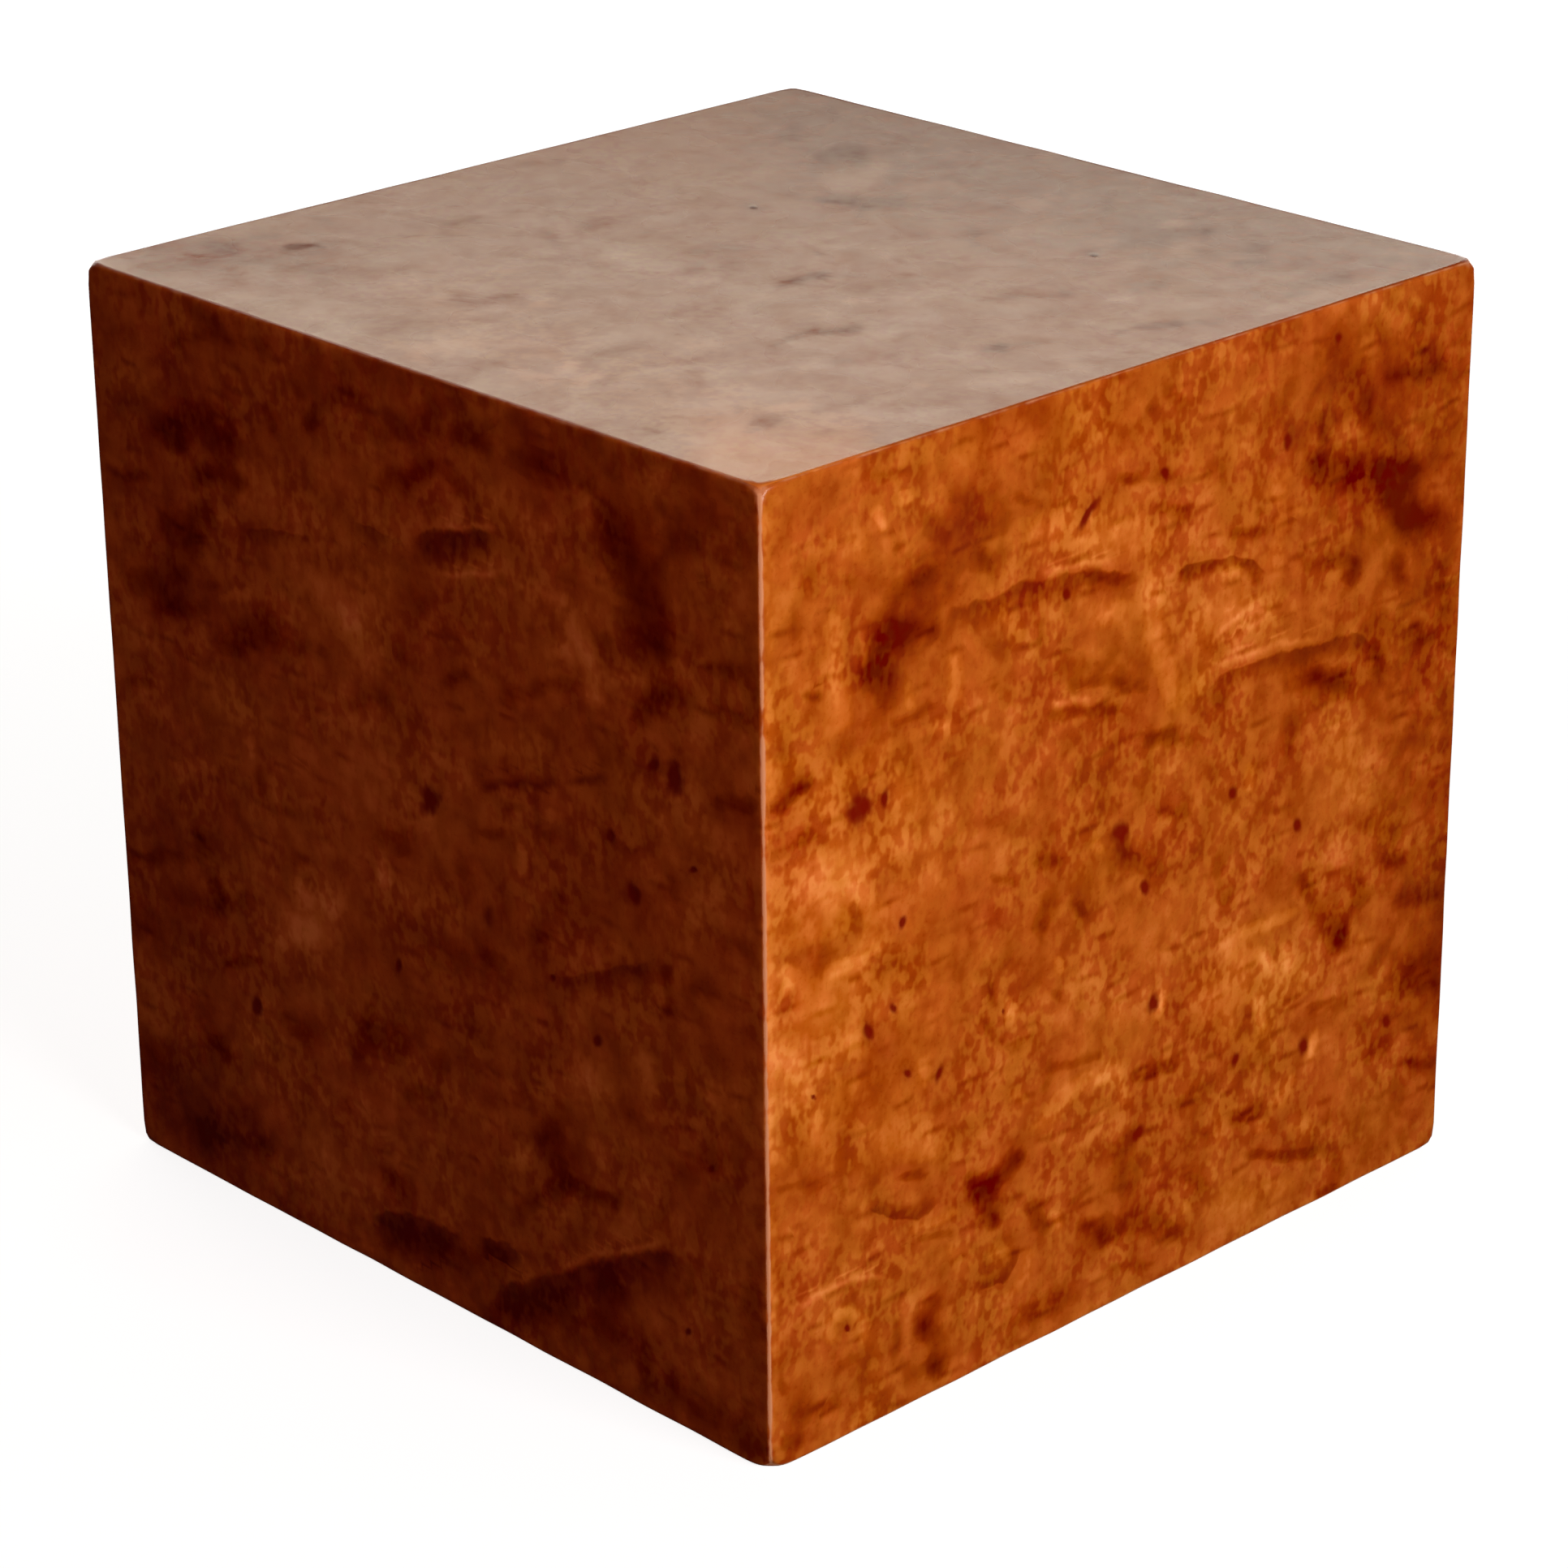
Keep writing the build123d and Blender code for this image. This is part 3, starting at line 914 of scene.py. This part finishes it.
# Block
def lattice_lines(axis):
    """Where the cells of the block's skin meet along an axis: close together round an edge, even between."""
    low, high = block_low[axis], block_high[axis]
    round_edge = [EDGE_RADIUS * (1 - math.tan(math.radians(step))) for step in EDGE_STEPS_DEG]
    margin = EDGE_RADIUS + EDGE_MARGIN
    even = np.linspace(low + margin, high - margin, CELLS_ACROSS + 1)
    return np.concatenate((low + np.array(round_edge), even, high - np.array(round_edge[::-1])))


def sharp_skin():
    """The block's six faces as one closed skin of cells, with its edges still sharp."""
    lines = [lattice_lines(axis) for axis in range(3)]
    last = [len(line) - 1 for line in lines]
    skin = bmesh.new()
    corners = {}

    def corner(key):
        if key not in corners:
            corners[key] = skin.verts.new([lines[axis][key[axis]] for axis in range(3)])
        return corners[key]

    for axis in range(3):
        across, up = (axis + 1) % 3, (axis + 2) % 3
        for end in (0, 1):
            for i in range(last[across]):
                for j in range(last[up]):
                    cell = []
                    for di, dj in ((0, 0), (1, 0), (1, 1), (0, 1)):
                        key = [0, 0, 0]
                        key[axis] = end * last[axis]
                        key[across] = i + di
                        key[up] = j + dj
                        cell.append(corner(tuple(key)))
                    skin.faces.new(cell if end else cell[::-1])
    return skin


def face_of(directions):
    """The name of the face that each direction points out of."""
    axis = np.argmax(np.abs(directions), axis=1)
    end = (directions[np.arange(len(axis)), axis] > 0).astype(int)
    names = {(face_axis, face_end): name for name, (face_axis, face_end, _, _) in FACES.items()}
    return np.array([names[pair] for pair in zip(axis.tolist(), end.tolist())])


def cut_cells(skin, cells, cuts):
    """Divides some cells of the skin."""
    edges = dict.fromkeys(edge for cell in cells for edge in cell.edges)
    bmesh.ops.subdivide_edges(skin, edges=list(edges), cuts=cuts, use_grid_fill=True)


def refine(skin):
    """Finer cells on the faces that the photograph shows, at small shades, knots and the worn corner."""
    inside = block_half - EDGE_RADIUS - EDGE_MARGIN

    def cells_by_face():
        cells = list(skin.faces)
        middles = np.array([cell.calc_center_median() for cell in cells]) - block_middle
        return cells, middles, face_of(middles / block_half)

    cells, middles, names = cells_by_face()
    flat_cells = (np.abs(middles) < inside).sum(axis=1) == 2
    shown = flat_cells & np.isin(names, list(PHOTOGRAPHED))
    cut_cells(skin, [cell for cell, is_shown in zip(cells, shown) if is_shown], SHOWN_FACE_CUTS)
    cells, middles, names = cells_by_face()
    near_shade = np.zeros(len(cells), bool)
    for name in SMALL_SHADE_FACES:
        on_face = names == name
        flat = drawing_plane(name, middles[on_face] + block_middle)
        for _, half_width, line in MARKS[name][0]:
            if half_width <= SMALL_SHADE:
                near_shade[on_face] |= np.abs(line_gap(flat, line)[0]) < SMALL_SHADE_FINE_REACH * half_width
    cut_cells(skin, [cell for cell, is_near in zip(cells, near_shade) if is_near], SMALL_SHADE_CUTS)
    cells, middles, names = cells_by_face()
    near_knot = np.zeros(len(cells), bool)
    for name, (_, _, _, knots) in MARKS.items():
        on_face = names == name
        flat = drawing_plane(name, middles[on_face] + block_middle)
        for knot in knots:
            near_knot[on_face] |= knot_gap(flat, knot) < KNOT_FINE_REACH
    near_knot |= np.linalg.norm(middles - block_half * np.sign(WORN_CORNER), axis=1) < WORN_FINE_REACH
    cut_cells(skin, [cell for cell, is_near in zip(cells, near_knot) if is_near], KNOT_CUTS)


def soft_limit(values, limit, softness):
    """The values, held back smoothly where they pass a limit."""
    return values - softness * np.logaddexp(0, (values - limit) / softness)


def sand(sharp):
    """The skin's points with the edges and corners sanded, and the direction that each then faces."""
    stray = np.array([noise.noise(Vector(point) / EDGE_STRAY_LENGTH) for point in sharp])
    radius = (EDGE_RADIUS * (1 + EDGE_STRAY_SHARE * stray))[:, None]
    core = np.clip(sharp, block_low + radius, block_high - radius)
    facing = sharp - core
    facing /= np.linalg.norm(facing, axis=1)[:, None]
    points = core + radius * facing - block_middle
    reach = np.linalg.norm(points, axis=1)
    eased = soft_limit(reach, np.linalg.norm(block_half) - CORNER_EASING, CORNER_SOFTNESS)
    points *= (eased / reach)[:, None]
    towards = points @ WORN_CORNER
    worn = soft_limit(towards, block_half @ np.abs(WORN_CORNER) - WORN_CORNER_LOSS, WORN_SOFTNESS)
    points += (worn - towards)[:, None] * WORN_CORNER
    return points + block_middle, facing


def wander(points):
    """How far the marks stray from their lines at each point."""
    noise.seed_set(WANDER_SEED)
    strayed = np.zeros_like(points)
    for length, reach in WANDER:
        strayed += reach * np.array([noise.noise_vector(Vector(point) / length) for point in points])
    return strayed


def add_attribute(mesh, name, values):
    """A number for each point of the mesh, for the wood's nodes to read."""
    mesh.attributes.new(name, "FLOAT", "POINT").data.foreach_set("value", values.astype(np.float32))


def add_map(mesh, sharp):
    """A map of the six faces side by side, for textures."""
    starts = np.array([loop.vertex_index for loop in mesh.loops])
    cells = np.repeat(np.arange(len(mesh.polygons)), [len(cell.vertices) for cell in mesh.polygons])
    middles = np.array([sharp[list(cell.vertices)].mean(axis=0) for cell in mesh.polygons])
    names = face_of((middles - block_middle) / block_half)
    places = np.zeros((len(starts), 2))
    for number, (name, (_, _, across, up)) in enumerate(FACES.items()):
        chosen = names[cells] == name
        share = ((sharp[starts[chosen]] - block_low) / (2 * block_half))[:, [across, up]]
        tile = np.array((number % MAP_COLUMNS, number // MAP_COLUMNS))
        places[chosen] = (tile + MAP_BORDER + share * (1 - 2 * MAP_BORDER)) / (MAP_COLUMNS, MAP_ROWS)
    mesh.uv_layers.new(name="OFBake").data.foreach_set("uv", places.ravel())


def make_block():
    """The wood block with its sanded edges, its knots as shallow dents, and its marks told to each point."""
    skin = sharp_skin()
    refine(skin)
    mesh = bpy.data.meshes.new("burl_block")
    skin.to_mesh(mesh)
    skin.free()
    sharp = np.array([point.co for point in mesh.vertices])
    points, facing = sand(sharp)
    names = face_of(facing)
    strayed = points + wander(points)
    fields = {}
    for name in FACES:
        on_face = names == name
        for key, values in draw_marks(drawing_plane(name, strayed[on_face]), MARKS[name]).items():
            fields.setdefault(key, np.zeros(len(points)))[on_face] = values
    fields["lively"] = np.where(names == "top", CALM_TOP_SHARE, 1.0)
    # Where the pale edge colour goes: the rounded edges, less on the top ones, and every corner; worn wood
    # and a painted highlight
    fields["edge"] = np.clip((1 - np.max(np.abs(facing), axis=1)) / (1 - math.sqrt(0.5)), 0, 1)
    fields["edge"] *= np.where(facing[:, 2] > 0, TOP_EDGE_WEAR_AND_HIGHLIGHT, 1.0)
    corner_gap = np.linalg.norm(block_half - np.abs(points - block_middle), axis=1)
    fields["edge"] = np.maximum(fields["edge"], np.exp(-(corner_gap / CORNER_WEAR_AND_HIGHLIGHT_REACH) ** 2))
    points -= KNOT_DEPTH * ramp(fields["knot_gap"], *KNOT_OUTLINE)[:, None] * facing
    mesh.vertices.foreach_set("co", points.ravel())
    for key, values in fields.items():
        add_attribute(mesh, key, values)
    add_map(mesh, sharp)
    mesh.shade_smooth()
    mesh.update()
    block = bpy.data.objects.new("burl_block", mesh)
    bpy.context.scene.collection.objects.link(block)
    return block


# Wood, from the palest to the darkest of its shades
WOOD_SHADES = (
    (0.00, (0.80, 0.24, 0.070)),
    (0.20, (0.62, 0.155, 0.028)),
    (0.40, (0.46, 0.095, 0.0085)),
    (0.60, (0.32, 0.049, 0.0014)),
    (0.80, (0.215, 0.022, 0.0003)),
    (1.05, (0.115, 0.0045, 0.0001)),
)
KNOT_COLOUR = (0.155, 0.0034, 0.0002)
# Pale colour painted on the rounded edges and corners: worn wood, and partly a painted highlight
WORN_EDGE_AND_HIGHLIGHT_COLOUR = (0.640, 0.270, 0.135)
MIDDLE_SHADE = 0.47

# Figure of the wood between the marks: the length of each kind of feature, how much it swings the shade, and
# the bounds of the noise between which it comes in
COARSE_DETAIL, BLOTCH_DETAIL, FILM_DETAIL = 1.0, 2.0, 4.0
SWIRL_LENGTH = 0.0085
SWIRL_REACH = 0.0065
SMALL_SWIRL_REACH = 0.0022
DRIFT_LENGTH, DRIFT_SWING = 0.0240, 0.26
CLOUD_LENGTH, CLOUD_SWING = 0.0068, 0.26
BLOTCH_LENGTH, BLOTCH_SWING = 0.0028, 0.058
FLECK_LENGTH, FLECK_SWING = 0.00105, 0.050
FIBRE_LENGTH, FIBRE_SWING = 0.00075, 0.04
BUD_LENGTH, BUD_SWING = 0.0036, 0.22
PORE_LENGTH, PORE_SWING = 0.00040, 0.05
BLOTCH_BOUNDS = (0.36, 0.64)
FLECK_BOUNDS = (0.38, 0.62)
PORE_BOUNDS = (0.62, 0.78)
CLUMP_BOUNDS = (-0.15, 0.15)
CLUMP_SHARES = (0.35, 1.55)
UPRIGHT_FLECK = (1.0, 1.0, 0.75)
UPRIGHT_FIBRE = (1.0, 1.0, 0.24)
DASH_HALF_LENGTH = 0.0015
DASH_HALF_HEIGHT = 0.0004
DASH_SHADE = 0.26
DASH_BOUNDS = (0.45, 1.0)
HUE_SWING = 0.014
FLECK_HUE_SWING = 0.0028
LIGHT_HUE_SWING, LIGHT_SATURATION = 0.010, 0.05

# Ragged outlines of marks, knots and worn, highlight-painted edges: how far the figure pushes each, and the
# bounds of its fade
MARK_RAGGED = 0.26
MARK_BOUNDS = (0.04, 0.17)
MARK_SHARES = (0.22, 1.06)
SHELF_RAGGED = 0.5
SHELF_FADE_BOUNDS = (0.2, 1.9)
SHELF_LIP_BOUNDS = (-0.25, 0.05)
STROKE_RAGGED = 1.5
KNOT_RAGGED = 0.9
KNOT_BOUNDS = (1.50, 0.50)
KNOT_COVER = 0.95
WEAR_AND_HIGHLIGHT_FLECK_RAGGED, WEAR_AND_HIGHLIGHT_BLOTCH_RAGGED = 1.6, 3.0
WEAR_AND_HIGHLIGHT_BOUNDS = (0.05, 0.60)
WEAR_AND_HIGHLIGHT_COVER = 0.96

# Lacquer: how dull it is, how it gleams, and the grain that stands in it
DULLNESS, DULL_SWING = 0.27, 0.14
LACQUER_GLEAM = 0.24
FILM_LENGTH, FILM_SWING = 0.0038, 0.40
FILM_ROUGHNESS = 0.62
FILM_AT_MARKS = -0.85
FLECK_GLEAM = 0.12
LEAST_GLEAM = 0.02
KNOT_GLEAM = 0.12
PORE_DIP = -0.6
GRAIN_STRENGTH = 0.14
GRAIN_DEPTH = 0.00005


class Graph:
    """A material's nodes, added one at a time."""

    def __init__(self, tree):
        self.tree = tree

    def add(self, kind, links=None, **settings):
        """A node, with its settings, and with its inputs linked to other nodes' outputs or set to values."""
        made = self.tree.nodes.new(kind)
        for key, value in settings.items():
            setattr(made, key, value)
        for key, value in (links or {}).items():
            if isinstance(value, bpy.types.NodeSocket):
                self.tree.links.new(value, made.inputs[key])
            else:
                made.inputs[key].default_value = value
        return made

    def math(self, operation, first, second=0.0, third=0.0):
        """The result of one sum."""
        return self.add("ShaderNodeMath", {0: first, 1: second, 2: third}, operation=operation).outputs[0]

    def noise(self, place, length, detail=0.0, roughness=0.5):
        """Smooth noise with features of a given length, about 0.5."""
        links = {"Vector": place, "Scale": 1 / length, "Detail": detail, "Roughness": roughness}
        return self.add("ShaderNodeTexNoise", links)

    def spread(self, value, low, high, start, end):
        """A value from low to high turned smoothly into one from start to end."""
        links = {"Value": value, "From Min": low, "From Max": high, "To Min": start, "To Max": end}
        return self.add("ShaderNodeMapRange", links, interpolation_type="SMOOTHSTEP").outputs["Result"]

    def about(self, value, reach, other=0.0):
        """A noise's swing to each side of its middle, times a reach, added to another value."""
        return self.math("MULTIPLY_ADD", self.math("SUBTRACT", value, 0.5), reach, other)

    def bell(self, gap):
        """1 at no gap, and less and less as the gap grows to either side."""
        return self.math("EXPONENT", self.math("MULTIPLY", self.math("MULTIPLY", gap, gap), -1.0))

    def attribute(self, name):
        """A number that the mesh holds for each of its points."""
        return self.add("ShaderNodeAttribute", attribute_name=name).outputs["Fac"]

    def vector(self, operation, first, second):
        """The result of one sum of vectors."""
        links = {0: first}
        links["Scale" if operation == "SCALE" else 1] = second
        return self.add("ShaderNodeVectorMath", links, operation=operation).outputs["Vector"]

    def mix(self, share, first, second):
        """One colour with a share of another."""
        mixed = self.add("ShaderNodeMix", {0: share, 6: first, 7: (*second, 1.0)}, data_type="RGBA")
        return mixed.outputs[2]


def make_wood():
    """Burl: clouds of red-brown in amber, crisp growth lines, upright flecks and pin knots, lacquered."""
    wood = bpy.data.materials.new("burl_wood")
    wood.use_nodes = True
    wood.node_tree.nodes.clear()
    graph = Graph(wood.node_tree)
    place = graph.add("ShaderNodeTexCoord").outputs["Object"]

    # Swirl: the wood's own places, pushed about
    push = graph.noise(place, SWIRL_LENGTH, COARSE_DETAIL).outputs["Color"]
    push = graph.vector("SUBTRACT", push, (0.5, 0.5, 0.5))
    swirled = graph.vector("ADD", place, graph.vector("SCALE", push, SWIRL_REACH))
    eased = graph.vector("ADD", place, graph.vector("SCALE", push, SMALL_SWIRL_REACH))

    # Clouds, blotches, buds, upright flecks and fibres, and pores
    drift = graph.noise(place, DRIFT_LENGTH).outputs["Fac"]
    cloud = graph.noise(swirled, CLOUD_LENGTH, COARSE_DETAIL).outputs["Fac"]
    blotch = graph.noise(eased, BLOTCH_LENGTH, BLOTCH_DETAIL).outputs["Fac"]
    buds = graph.add("ShaderNodeTexVoronoi", {"Vector": eased, "Scale": 1 / BUD_LENGTH})
    upright = graph.vector("MULTIPLY", place, UPRIGHT_FLECK)
    fleck = graph.noise(upright, FLECK_LENGTH, COARSE_DETAIL).outputs["Fac"]
    fibre = graph.noise(graph.vector("MULTIPLY", place, UPRIGHT_FIBRE), FIBRE_LENGTH).outputs["Fac"]
    pore = graph.spread(graph.noise(place, PORE_LENGTH).outputs["Fac"], *PORE_BOUNDS, 0.0, 1.0)
    crisp_blotch = graph.spread(blotch, *BLOTCH_BOUNDS, -1.0, 1.0)
    crisp_fleck = graph.spread(fleck, *FLECK_BOUNDS, -1.0, 1.0)
    sideways, backward, _ = graph.add("ShaderNodeSeparateXYZ", {0: push}).outputs
    clump = graph.spread(backward, *CLUMP_BOUNDS, *CLUMP_SHARES)
    clumped_fleck = graph.math("MULTIPLY", crisp_fleck, clump)

    # Marks, with ragged outlines
    dark = graph.attribute("dark")
    firm = graph.about(blotch, MARK_RAGGED, graph.math("ABSOLUTE", dark))
    firm = graph.spread(graph.about(fleck, MARK_RAGGED, firm), *MARK_BOUNDS, *MARK_SHARES)
    shade = graph.math("MULTIPLY_ADD", dark, firm, MIDDLE_SHADE)
    shelf_gap = graph.about(blotch, SHELF_RAGGED, graph.attribute("shelf_gap"))
    shelf_gap = graph.about(fleck, SHELF_RAGGED, shelf_gap)
    shelf = graph.spread(shelf_gap, *SHELF_FADE_BOUNDS, 1.0, 0.0)
    shelf = graph.math("MULTIPLY", shelf, graph.spread(shelf_gap, *SHELF_LIP_BOUNDS, 0.0, 1.0))
    shade = graph.math("MULTIPLY_ADD", shelf, graph.attribute("shelf_dark"), shade)
    stroke = graph.bell(graph.about(fleck, STROKE_RAGGED, graph.attribute("stroke_gap")))
    shade = graph.math("MULTIPLY_ADD", stroke, graph.attribute("stroke_dark"), shade)

    # Short level dashes, one in some of the buds
    gap = graph.vector("SUBTRACT", eased, buds.outputs["Position"])
    level_gap = graph.vector("MULTIPLY", gap, (1.0, 1.0, 0.0))
    level = graph.add("ShaderNodeVectorMath", {0: level_gap}, operation="LENGTH")
    rise = graph.add("ShaderNodeSeparateXYZ", {0: gap}).outputs["Z"]
    dash = graph.bell(graph.math("DIVIDE", level.outputs["Value"], DASH_HALF_LENGTH))
    dash = graph.math("MULTIPLY", dash, graph.bell(graph.math("DIVIDE", rise, DASH_HALF_HEIGHT)))
    chosen = graph.add("ShaderNodeSeparateXYZ", {0: buds.outputs["Color"]}).outputs["X"]
    dash = graph.math("MULTIPLY", dash, graph.spread(chosen, *DASH_BOUNDS, 0.0, DASH_SHADE))

    # Shade of the wood at each point, with less figure where the face is calm
    figure = graph.math("MULTIPLY_ADD", crisp_blotch, BLOTCH_SWING, dash)
    figure = graph.math("MULTIPLY_ADD", clumped_fleck, -FLECK_SWING, figure)
    figure = graph.math("MULTIPLY_ADD", pore, PORE_SWING, figure)
    swings = (
        (drift, DRIFT_SWING),
        (cloud, CLOUD_SWING),
        (fibre, FIBRE_SWING),
        (buds.outputs["Distance"], BUD_SWING),
    )
    for layer, swing in swings:
        figure = graph.about(layer, swing, figure)
    shade = graph.math("MULTIPLY_ADD", figure, graph.attribute("lively"), shade)
    colours = graph.add("ShaderNodeValToRGB", {"Fac": graph.math("DIVIDE", shade, WOOD_SHADES[-1][0])})
    stops = colours.color_ramp.elements
    for number, (stop, colour) in enumerate(WOOD_SHADES):
        element = stops[number] if number < len(stops) else stops.new(1.0)
        element.position = stop / WOOD_SHADES[-1][0]
        element.color = (*colour, 1.0)

    # Hue, a little yellower where a mark is light
    hue = graph.math("MULTIPLY_ADD", sideways, HUE_SWING, 0.5)
    hue = graph.math("MULTIPLY_ADD", clumped_fleck, FLECK_HUE_SWING, hue)
    light = graph.math("MAXIMUM", graph.math("MULTIPLY", dark, -1.0), 0.0)
    tuned = {
        "Hue": graph.math("MULTIPLY_ADD", light, LIGHT_HUE_SWING, hue),
        "Saturation": graph.math("MULTIPLY_ADD", light, LIGHT_SATURATION, 1.0),
        "Color": colours.outputs["Color"],
    }
    colour = graph.add("ShaderNodeHueSaturation", tuned).outputs["Color"]

    # Knots, and edges where the lacquer is rubbed thin, painted paler as worn wood and as a painted highlight
    ragged_gap = graph.about(fleck, KNOT_RAGGED, graph.attribute("knot_gap"))
    knot = graph.spread(ragged_gap, *KNOT_BOUNDS, 0.0, KNOT_COVER)
    colour = graph.mix(knot, colour, KNOT_COLOUR)
    patchy = graph.about(fleck, WEAR_AND_HIGHLIGHT_FLECK_RAGGED, graph.about(blotch, WEAR_AND_HIGHLIGHT_BLOTCH_RAGGED, 1.0))
    wear_and_highlight = graph.math("MULTIPLY", graph.attribute("edge"), patchy)
    colour = graph.mix(graph.spread(wear_and_highlight, *WEAR_AND_HIGHLIGHT_BOUNDS, 0.0, WEAR_AND_HIGHLIGHT_COVER), colour, WORN_EDGE_AND_HIGHLIGHT_COLOUR)

    # Lacquer
    dull = graph.about(cloud, DULL_SWING, DULLNESS)
    film = graph.noise(swirled, FILM_LENGTH, FILM_DETAIL, FILM_ROUGHNESS).outputs["Fac"]
    gleam = graph.about(film, FILM_SWING, graph.spread(knot, 0.0, 1.0, LACQUER_GLEAM, KNOT_GLEAM))
    gleam = graph.about(fleck, FLECK_GLEAM, gleam)
    gleam = graph.math("MULTIPLY_ADD", graph.attribute("film"), FILM_AT_MARKS, gleam)
    gleam = graph.math("MAXIMUM", gleam, LEAST_GLEAM)
    grain = graph.math("MULTIPLY_ADD", pore, PORE_DIP, fleck)
    bump = graph.add("ShaderNodeBump", {"Strength": GRAIN_STRENGTH, "Distance": GRAIN_DEPTH, "Height": grain})
    lacquer = {
        "Base Color": colour,
        "Roughness": dull,
        "Normal": bump.outputs["Normal"],
        "Specular IOR Level": gleam,
    }
    shader = graph.add("ShaderNodeBsdfPrincipled", lacquer)
    graph.add("ShaderNodeOutputMaterial", {"Surface": shader.outputs["BSDF"]})
    return wood


# Studio
FLOOR_SIZE = 12.0
FLOOR_SHADE = (0.30, 0.31, 0.32)
FLOOR_GLOW = 0.86
SKY_SEEN = (0.96, 0.96, 0.96)
SKY_LIGHT = (0.020, 0.014, 0.012)
# Each light is its azimuth and elevation in degrees, distance, width, height, power in watts and colour
LIGHTS = {
    "window": (84, 17, 0.52, 0.30, 0.26, 2.72, (1.0, 0.97, 0.93)),
    "glare": (226, 29.5, 0.85, 0.50, 0.325, 1.56, (1.0, 0.98, 0.80)),
    "fill": (22, 24, 0.45, 0.20, 0.20, 0.275, (1.0, 0.28, 0.16)),
    "rim": (264, 45, 0.60, 0.16, 0.16, 0.30, (1.0, 0.95, 0.90)),
    "back": (196, 3, 0.60, 0.30, 0.30, 1.2, (1.0, 0.97, 0.93)),
    "side": (257, 3, 0.60, 0.30, 0.30, 1.2, (1.0, 0.97, 0.93)),
}
UNMIRRORED_LIGHTS = ("fill",)


def make_floor():
    """A plain pale floor, which sends no light or reflection back to the block."""
    half = FLOOR_SIZE / 2
    mesh = bpy.data.meshes.new("floor")
    corners = [(-half, -half, 0), (half, -half, 0), (half, half, 0), (-half, half, 0)]
    mesh.from_pydata(corners, [], [(0, 1, 2, 3)])
    floor = bpy.data.objects.new("floor", mesh)
    floor.location.z = block_low[2]
    floor.visible_diffuse = False
    floor.visible_glossy = False
    paint = bpy.data.materials.new("floor")
    paint.use_nodes = True
    shader = paint.node_tree.nodes["Principled BSDF"]
    shader.inputs["Base Color"].default_value = (*FLOOR_SHADE, 1.0)
    shader.inputs["Roughness"].default_value = 1.0
    shader.inputs["Specular IOR Level"].default_value = 0.0
    shader.inputs["Emission Color"].default_value = (1.0, 1.0, 1.0, 1.0)
    shader.inputs["Emission Strength"].default_value = FLOOR_GLOW
    mesh.materials.append(paint)
    bpy.context.scene.collection.objects.link(floor)


def make_lights():
    """Soft lights that face the block, and a dim room that is pale where the camera sees it."""
    middle = Vector(block_middle)
    for name, (azimuth, elevation, distance, width, height, power, colour) in LIGHTS.items():
        data = bpy.data.lights.new(name, "AREA")
        data.shape = "RECTANGLE"
        data.size = width
        data.size_y = height
        data.energy = power
        data.color = colour
        turn, rise = math.radians(azimuth), math.radians(elevation)
        back = Vector((math.sin(turn) * math.cos(rise), -math.cos(turn) * math.cos(rise), math.sin(rise)))
        light = bpy.data.objects.new(name, data)
        light.location = middle + back * distance
        light.rotation_euler = back.to_track_quat("Z", "Y").to_euler()
        light.visible_camera = False
        light.visible_glossy = name not in UNMIRRORED_LIGHTS
        bpy.context.scene.collection.objects.link(light)
    world = bpy.data.worlds.new("room")
    world.use_nodes = True
    world.node_tree.nodes.clear()
    graph = Graph(world.node_tree)
    seen = graph.add("ShaderNodeLightPath").outputs["Is Camera Ray"]
    dim = graph.add("ShaderNodeBackground", {"Color": (*SKY_LIGHT, 1.0)}).outputs[0]
    pale = graph.add("ShaderNodeBackground", {"Color": (*SKY_SEEN, 1.0)}).outputs[0]
    sky = graph.add("ShaderNodeMixShader", {0: seen, 1: dim, 2: pale}).outputs[0]
    graph.add("ShaderNodeOutputWorld", {"Surface": sky})
    bpy.context.scene.world = world


make_camera()
block = make_block()
block.data.materials.append(make_wood())
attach(block, "root")
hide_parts("wood_block")
make_floor()
make_lights()
bpy.context.scene.view_settings.view_transform = "Standard"
